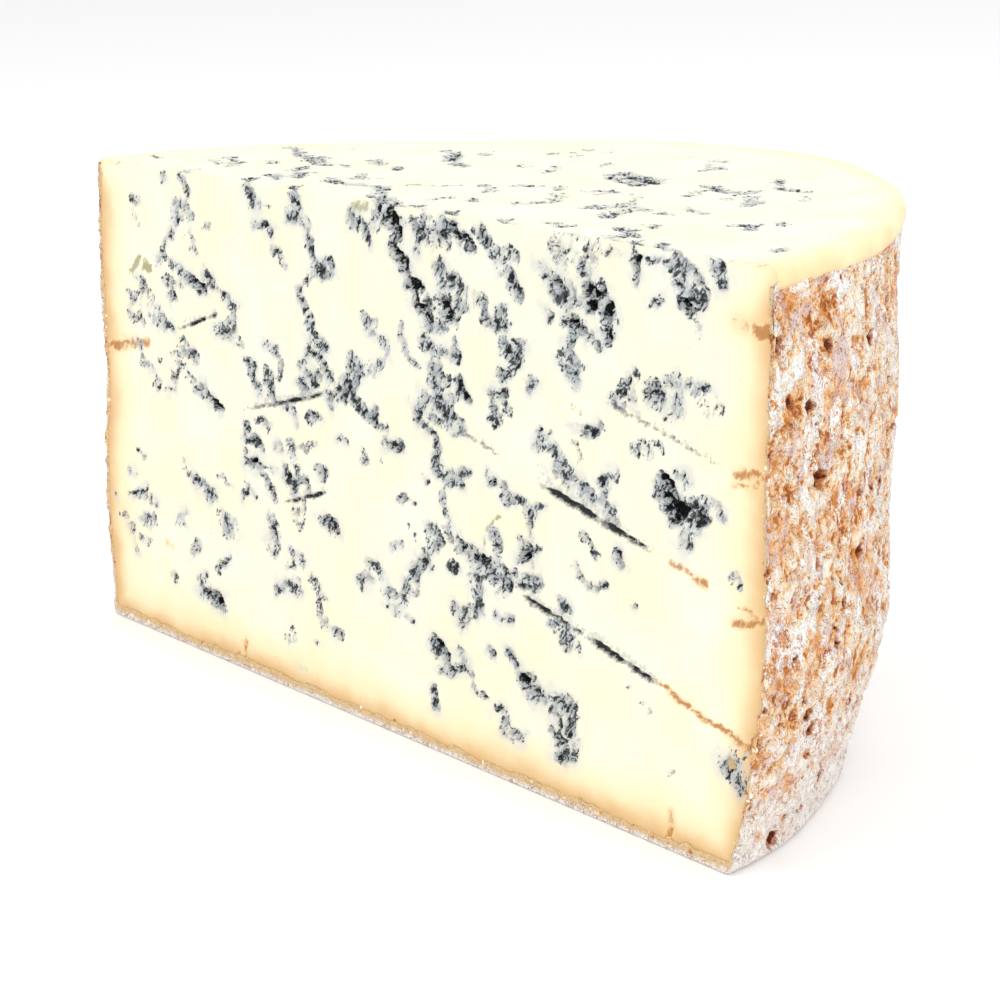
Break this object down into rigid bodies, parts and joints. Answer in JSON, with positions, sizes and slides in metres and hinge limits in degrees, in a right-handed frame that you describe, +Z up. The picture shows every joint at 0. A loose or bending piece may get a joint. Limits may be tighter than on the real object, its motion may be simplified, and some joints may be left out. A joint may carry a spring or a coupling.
{
  "type": "blue cheese half wheel",
  "caption": "Half of a drum-shaped blue-veined cheese, cut upright through the middle and level across the top, with natural rind round the back and base.",
  "frame": {"origin": "middle of the base of the bounding box, on the surface the cheese stands on", "axes": "+Z up; +X to the right along the upright cut face; the cut face looks along -Y and the rind wraps round the +Y side"},
  "size_m": [0.2092, 0.102, 0.112],
  "materials": {
    "cheese_paste": "moist, slightly waxy cut cheese with blue-grey mould veins",
    "cheese_rind": "dry, powdery and pitted natural rind, mottled cream, orange and brown"
  },
  "bodies": {
    "root": {"cheese_half_wheel": "cheese_paste"}
  },
  "joints": []
}
